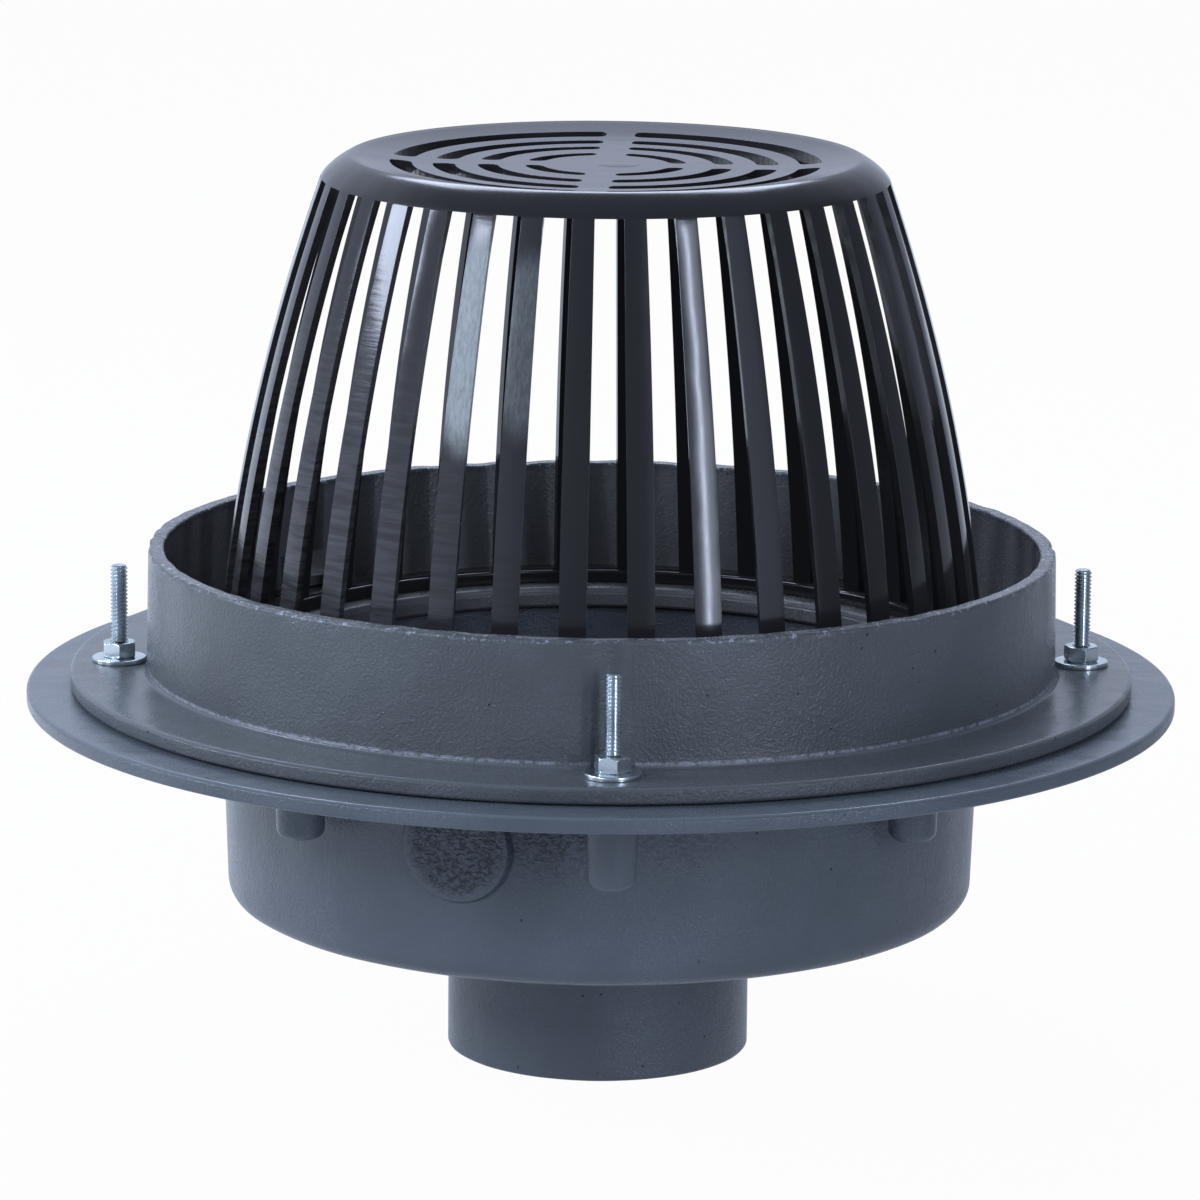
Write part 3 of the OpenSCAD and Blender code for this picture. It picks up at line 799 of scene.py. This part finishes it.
    def shell(self, s):
        """The wall, the shoulder and the plate as one closed grid. Rows follow the profile and columns go
        round. The cells of the gaps and slots are left out, and every border of a hole gets a side face."""
        outer, inner, opening, closing, first_slot = self.profile(s)
        face, back = (self.columns(s, outer, opening, closing, first_slot, draft)
                      for draft in (0, s.bar_draft))
        rows, count = face.shape
        order, cells = np.arange(count), count // s.bar_count
        crown = np.array([1, 0.64, 0.16, 0, 0.16, 0.64, 1])[order % cells] * s.bar_crown
        fade = np.clip((closing - np.arange(rows)) / 3, 0, 1)[:, None]
        points = np.stack([around(outer[:, :1] - crown * fade, face, outer[:, 1:]),
                           around(inner[:, :1], back, inner[:, 1:])])
        solid = np.ones((rows - 1, count), bool)
        solid[opening:closing, order % cells == cells - 1] = False
        spoke = order % (count // 4) == count // 4 - 1
        slot, slot_rows, slot_count = np.arange(rows - 1) - first_slot, 8, 4
        cut = (slot >= 0) & (slot < slot_rows * slot_count) & (slot % slot_rows < slot_rows - 1)
        solid[np.ix_(cut, ~spoke)] = False
        index = np.arange(2 * rows * count).reshape(2, rows, count)
        beside = np.roll(index, -1, 2)
        above, below = np.pad(solid, ((0, 1), (0, 0)))[1:], np.pad(solid, ((1, 0), (0, 0)))[:-1]
        above[-1] = True
        # The corners of every cell: outer (o) or inner (i) line, low or high row, this or the next column
        (o_low, i_low), (o_high, i_high) = index[:, :-1], index[:, 1:]
        (o_low_next, i_low_next), (o_high_next, i_high_next) = beside[:, :-1], beside[:, 1:]
        quads = [np.stack(corners, -1)[where] for where, corners in (
            (solid, (o_low, o_low_next, o_high_next, o_high)),
            (solid, (i_low, i_high, i_high_next, i_low_next)),
            (solid & ~np.roll(solid, 1, 1), (o_low, o_high, i_high, i_low)),
            (solid & ~np.roll(solid, -1, 1), (o_low_next, i_low_next, i_high_next, o_high_next)),
            (solid & ~below, (o_low, i_low, i_low_next, o_low_next)),
            (solid & ~above, (o_high, o_high_next, i_high_next, i_high)))]
        used, quads = np.unique(np.concatenate(quads), return_inverse=True)
        return points.reshape(-1, 3)[used], quads.reshape(-1, 4)

    def execute(self, context):
        s = context.scene.drain_dome
        finish = plastic_finish()
        own = (finish, "dome", "dome_plastic", "dome_strainer")
        piece("dome_shell", [self.shell(s)], *own, s.edge_radius, 35)
        rim, bore = s.foot_radius + 6.6 * MM, s.foot_radius - s.bar_depth - 2 * MM
        low_edge, rim_edge, bore_edge, foot_top = 0.6 * MM, 1.2 * MM, 1 * MM, LEDGE + 5 * MM
        foot = spaced(np.concatenate([
            arc((bore + low_edge, LEDGE + low_edge), low_edge, 180, 270, 4),
            arc((rim - low_edge, LEDGE + low_edge), low_edge, 270, 360, 4),
            arc((rim - rim_edge, foot_top - rim_edge), rim_edge, 0, 90, 6),
            arc((bore + bore_edge, foot_top - bore_edge), bore_edge, 90, 180, 4),
        ]), 4 * MM)
        tab_end, tab_low, tab_top = 156 * MM, LEDGE + 0.1 * MM, LEDGE + 4.3 * MM
        tab = swept(np.array([(s.foot_radius, tab_low), (tab_end, tab_low), (tab_end, tab_top),
                              (s.foot_radius, tab_top)]), -1.3, 8.7, 8)
        shells = [skin(turned(foot, np.arange(0, 360, 2)))] + [rotated(tab, angle) for angle in CORNERS]
        piece("dome_foot", shells, *own, 0.4 * MM)
        top, gate_radius, off_centre = DOME_HIGH.z - s.plate_drop, 7.9 * MM, 4.7 * MM
        v, q = capped_outline([
            (0, top - 1 * MM), (gate_radius, top - 1 * MM), (gate_radius, top),
            (gate_radius - 0.5 * MM, top + 0.08 * MM), (gate_radius - 1.3 * MM, top + 0.17 * MM),
            (0, top + 0.2 * MM)], 6)
        piece("dome_gate", [(v + (off_centre, 0, 0), q)], *own)
        return {"FINISHED"}


class DRAIN_OT_fasteners(Operator):
    """Skins the four studs with cut threads, the nuts and the washers"""

    bl_idname = "drain.fasteners"
    bl_label = "Studs, nuts and washers"

    def stud(self, s, centre, low, high):
        """A stud: every row of the grid climbs one pitch in a turn, and eight rows make one thread, whose
        radius is outer - depth * ridge. The last column meets the first one eight rows up, where the two are
        welded. Rows past an end are held at it, where the tip has narrowed below the thread."""
        columns = np.arange(0, 361, 10.0)
        ridge = np.array([0, 0.25, 0.5, 0.75, 1, 0.75, 0.5, 0.25])
        rows = np.arange(int((high - low) / s.thread_pitch + 3) * len(ridge))
        z = np.clip(low + s.thread_pitch * (rows[:, None] / len(ridge) - 1 + columns / 360), low, high)
        radius = STUD_RADIUS - s.thread_depth * ridge[rows % len(ridge)][:, None]
        chamfer = 0.8 * MM
        radius = np.minimum(radius, STUD_RADIUS - chamfer + np.minimum(high - z, z - low))
        tips = [np.broadcast_to((centre[0], centre[1], end), (1, len(columns), 3)) for end in (low, high)]
        grid = np.concatenate([tips[0], around(radius, columns, z, centre), tips[1]])
        return skin(grid, close_rows=False, close_columns=False)

    def nut(self, s, centre, low, high, turn):
        """A hexagon whose corners are turned off by a cone at both ends, with its bore on the stud: its
        radius is the least of flats / cos(angle from a flat's middle), the cone and the corner."""
        angles = np.arange(0, 360, 3.0)
        flats = s.nut_flats / 2
        corner = flats / np.cos(np.radians(30))
        hexagon = flats / np.cos(np.radians((angles + 30) % 60 - 30))
        t = np.array([0, 0.06, 0.14, 0.24, 0.5, 0.76, 0.86, 0.94, 1.0])
        z = low + (high - low) * t
        end = np.minimum(z - low, high - z)
        face_share, slope = 0.985, 1.6
        cone = flats * face_share + end * slope
        outer = np.minimum(hexagon[None, :], np.minimum(cone, corner)[:, None])
        inner = np.full((2, len(angles)), STUD_RADIUS + 0.05 * MM)
        height = np.concatenate([z, [high, low]])[:, None]
        return skin(around(np.concatenate([outer, inner]), angles + turn, height, centre))

    def washer(self, centre, low, high, radius):
        """A stamped washer: an outline turned about the stud, soft on its upper edge and crisper below."""
        crisp, soft, bore = 0.3 * MM, 0.6 * MM, STUD_RADIUS + 0.6 * MM
        outline = np.concatenate([
            [(bore, low)],
            arc((radius - crisp, low + crisp), crisp, -90, 0, 4),
            arc((radius - soft, high - soft), soft, 0, 90, 6),
            [(bore + crisp, high), (bore, high - crisp)],
        ])
        v, q = skin(turned(outline, np.arange(0, 360, 5)))
        return v + (centre[0], centre[1], 0), q

    def execute(self, context):
        s = context.scene.drain_fasteners
        finish = zinc_finish()
        turns = {"front": 12, "right": 9, "back": 40, "left": 4}    # how each nut came to rest, in degrees
        for side, turn in turns.items():
            low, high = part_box(f"stud_{side}")
            centre = (low + high) / 2
            stud = self.stud(s, centre, low.z, high.z)
            low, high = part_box(f"nut_{side}")
            nut = self.nut(s, centre, low.z, high.z, turn)
            low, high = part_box(f"washer_{side}")
            washer = self.washer(centre, low.z, high.z, (high.x - low.x) / 2)
            for name, shell, node, *rounding in (
                    (f"threaded_stud_{side}", stud, f"stud_{side}"),
                    (f"hex_nut_{side}", nut, f"nut_{side}", 0.2 * MM, 25),
                    (f"flat_washer_{side}", washer, f"washer_{side}")):
                piece(name, [shell], finish, "drain", "zinc_plate", node, *rounding)
        return {"FINISHED"}


# ---------------------------------------------------------------- studio

class StudioSettings(PropertyGroup):
    """Where the camera stands and how strong the lamps are."""

    camera_distance: length("Distance", "Level distance of the camera from the drain's axis", 2229.4)
    camera_height: length("Height", "Height of the camera above the floor", 641.5)
    camera_turn: degrees("Turn", "Direction of the camera from the front", -1.4)
    camera_roll: degrees("Roll", "Tilt of the camera to one side", 0.56)
    lens: FloatProperty(name="Lens", description="Focal length in millimetres", default=186.77)
    left: power("Left softbox", "Power of the softbox on the left", 18)
    front_left: power("Front softbox", "Power of the softbox at the front left", 11)
    right: power("Right softbox", "Power of the tall softbox on the right", 6.5)
    strip: power("Strip", "Power of the narrow strip on the right", 8)
    top: power("Top", "Power of the softbox above and behind", 30)
    room: FloatProperty(name="Room", description="Brightness of the room", default=1.0, min=0)
    tint: colour("Room tint", "Tint of the room and of its lamps", (0.71, 0.79, 1.0))


class DRAIN_OT_stage(Operator):
    """Sets the pale floor, the soft studio light, the white background and the camera"""

    bl_idname = "drain.stage"
    bl_label = "Studio"

    def floor(self):
        """A wide pale floor under the outlet that keeps the drain's shadow and stays white to the camera.
            What the gloss mirrors of it is a painted glow, pale far off and darker near by, with a painted
            pool of light in front."""
        half, z = 6.0, BODY_LOW.z - 0.2 * MM
        mesh = bpy.data.meshes.new("floor")
        mesh.from_pydata([(-half, -half, z), (half, -half, z), (half, half, z), (-half, half, z)], [],
                         [(0, 1, 2, 3)])
        f = Finish(bpy.data.materials.new("pale floor"))
        path, place = f.node("LightPath"), f.place()
        axes = f.axes(place)
        across, back = axes.out("X"), axes.out("Y")
        far = f.span(back * 0.8 - across * 1.2, -0.8, 1.0)
        # painted pool of light on the floor in front of the drain, seen only in reflections
        light_pool = f.span(f.radius(place), 0.85, 0.55) * f.span(back, 0, -0.3)
        glow = f.mixed(far, (0.28, 0.31, 0.38, 1), (1.0, 1.12, 1.34, 1))
        glow = f.mixed(light_pool * 0.5, glow, (0.85, 1.0, 1.3, 1))
        paint = f.node("BsdfDiffuse", {"Color": (0.5, 0.52, 0.55, 1)})
        mirrored = path.out("Is Glossy Ray").at_least(path.out("Is Transmission Ray"))
        shown = f.either(mirrored, paint, f.node("Emission", {"Color": glow, "Strength": 1.0}))
        white = f.node("Emission", {"Color": WHITE, "Strength": 1.0})
        seen = 0.97    # share of the camera's view that is plain white; the rest shows the shadow
        f.node("OutputMaterial", {"Surface": f.either(path.out("Is Camera Ray") * seen, shown, white).out()})
        mesh.materials.append(f.owner)
        added("floor", mesh)

    def world(self, s):
        """White to the camera. Elsewhere a room with a dark ceiling whose walls are pale behind and to the
        left and dark at the front and on the right, by the direction around the drain in degrees from the
        front."""
        world = bpy.context.scene.world = bpy.data.worlds.new("studio room")
        f = Finish(world)
        way = f.axes(f.node("TexCoord").out("Generated"))
        direction = f.node("Math", {0: way.out("X"), 1: way.out("Y") * -1.0}, {"operation": "ARCTAN2"}).out()
        walls = [(-180, 0.86), (-140, 0.95), (-112, 0.8), (-90, 0.85), (-60, 0.95), (-32, 0.7), (-16, 0.36),
                 (0, 0.3), (14, 0.3), (24, 0.9), (56, 0.9), (66, 0.2), (120, 0.2), (150, 0.5), (170, 0.86),
                 (180, 0.86)]
        stops = [(turn / 360 + 0.5, shade) for turn, shade in walls]
        level = f.ramp(direction * (1 / (2 * np.pi)) + 0.5, stops)
        tint = f.node("Mix", {"Factor": 1.0, 6: level, 7: rgba(s.tint)}, {
            "data_type": "RGBA", "blend_type": "MULTIPLY"}).out(2)
        tint = f.mixed(f.span(way.out("Z"), 0.55, 0.85), tint, (0.20, 0.23, 0.28, 1))
        room = f.node("Background", {"Color": tint, "Strength": s.room})
        white = f.node("Background", {"Color": WHITE, "Strength": 1.0})
        seen = f.node("LightPath").out("Is Camera Ray")
        f.node("OutputWorld", {"Surface": f.either(seen, room, white).out()})

    def aim(self, obj, place, target, roll=0.0):
        """Puts a lamp or the camera at a place, points it at a target and rolls it by some degrees."""
        obj.location = place
        turn = (target - obj.location).to_track_quat("-Z", "Y").to_matrix()
        obj.rotation_euler = (turn @ Matrix.Rotation(np.radians(roll), 3, "Z")).to_euler()

    def softbox(self, name, direction, height, distance, width, tall, watts, tint):
        """An area lamp at a direction in degrees from the front, positive to the right, that faces the
        drain."""
        data = bpy.data.lights.new(name, "AREA")
        data.shape, data.size, data.size_y = "RECTANGLE", width, tall
        data.energy, data.color = watts, tint
        guard_top = Vector((0, 0, DECK + 60 * MM))
        self.aim(added(name, data), polar(distance, direction - 90, height), guard_top)

    def camera(self, s):
        """The camera on its stand, aimed at the drain's middle and rolled a little."""
        data = bpy.data.cameras.new("camera")
        data.lens, data.sensor_width, data.clip_start, data.clip_end = s.lens, 36, 0.1, 50
        camera = bpy.context.scene.camera = added("camera", data)
        middle = Vector((-0.6 * MM, 0, DECK + 30.1 * MM))
        stand = polar(s.camera_distance, s.camera_turn - 90, s.camera_height)
        self.aim(camera, stand, middle, s.camera_roll)

    def execute(self, context):
        s = context.scene.drain_studio
        context.scene.view_settings.view_transform = "Standard"
        self.floor()
        self.world(s)
        for lamp in (("left softbox", -90, 0.95, 1.6, 0.65, 0.55, s.left),
                     ("front left softbox", -51, 1.10, 1.9, 0.42, 0.44, s.front_left),
                     ("right softbox", 32, 0.8, 2.0, 0.42, 1.3, s.right),
                     ("right strip", 30.5, 0.8, 1.98, 0.10, 1.3, s.strip),
                     ("top softbox", 180, 1.75, 1.35, 1.4, 0.8, s.top)):
            self.softbox(*lamp, s.tint)
        self.camera(s)
        return {"FINISHED"}


class DRAIN_PT_panel(Panel):
    """The drain's builders in the sidebar"""

    bl_label = "Roof Drain"
    bl_idname = "DRAIN_PT_panel"
    bl_space_type = "VIEW_3D"
    bl_region_type = "UI"
    bl_category = "Roof Drain"

    def draw(self, context):
        for operator in OPERATORS:
            self.layout.operator(operator.bl_idname)


GROUPS = {"drain_castings": CastingSizes, "drain_dome": DomeSizes, "drain_fasteners": FastenerSizes,
          "drain_finishes": FinishColours, "drain_studio": StudioSettings}
OPERATORS = (DRAIN_OT_stage, DRAIN_OT_body, DRAIN_OT_clamp_ring, DRAIN_OT_dome, DRAIN_OT_fasteners)


def register():
    for name, group in GROUPS.items():
        bpy.utils.register_class(group)
        setattr(bpy.types.Scene, name, PointerProperty(type=group))
    for cls in (*OPERATORS, DRAIN_PT_panel):
        bpy.utils.register_class(cls)


def unregister():
    for cls in (DRAIN_PT_panel, *reversed(OPERATORS)):
        bpy.utils.unregister_class(cls)
    for name, group in reversed(GROUPS.items()):
        delattr(bpy.types.Scene, name)
        bpy.utils.unregister_class(group)


def main():
    for thing in [o for o in bpy.data.objects if o.type in {"LIGHT", "CAMERA"}]:
        bpy.data.objects.remove(thing)
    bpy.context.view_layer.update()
    register()
    bpy.ops.drain.stage()
    bpy.ops.drain.body()
    bpy.ops.drain.clamp_ring()
    bpy.ops.drain.dome()
    bpy.ops.drain.fasteners()


if __name__ == "__main__":
    main()
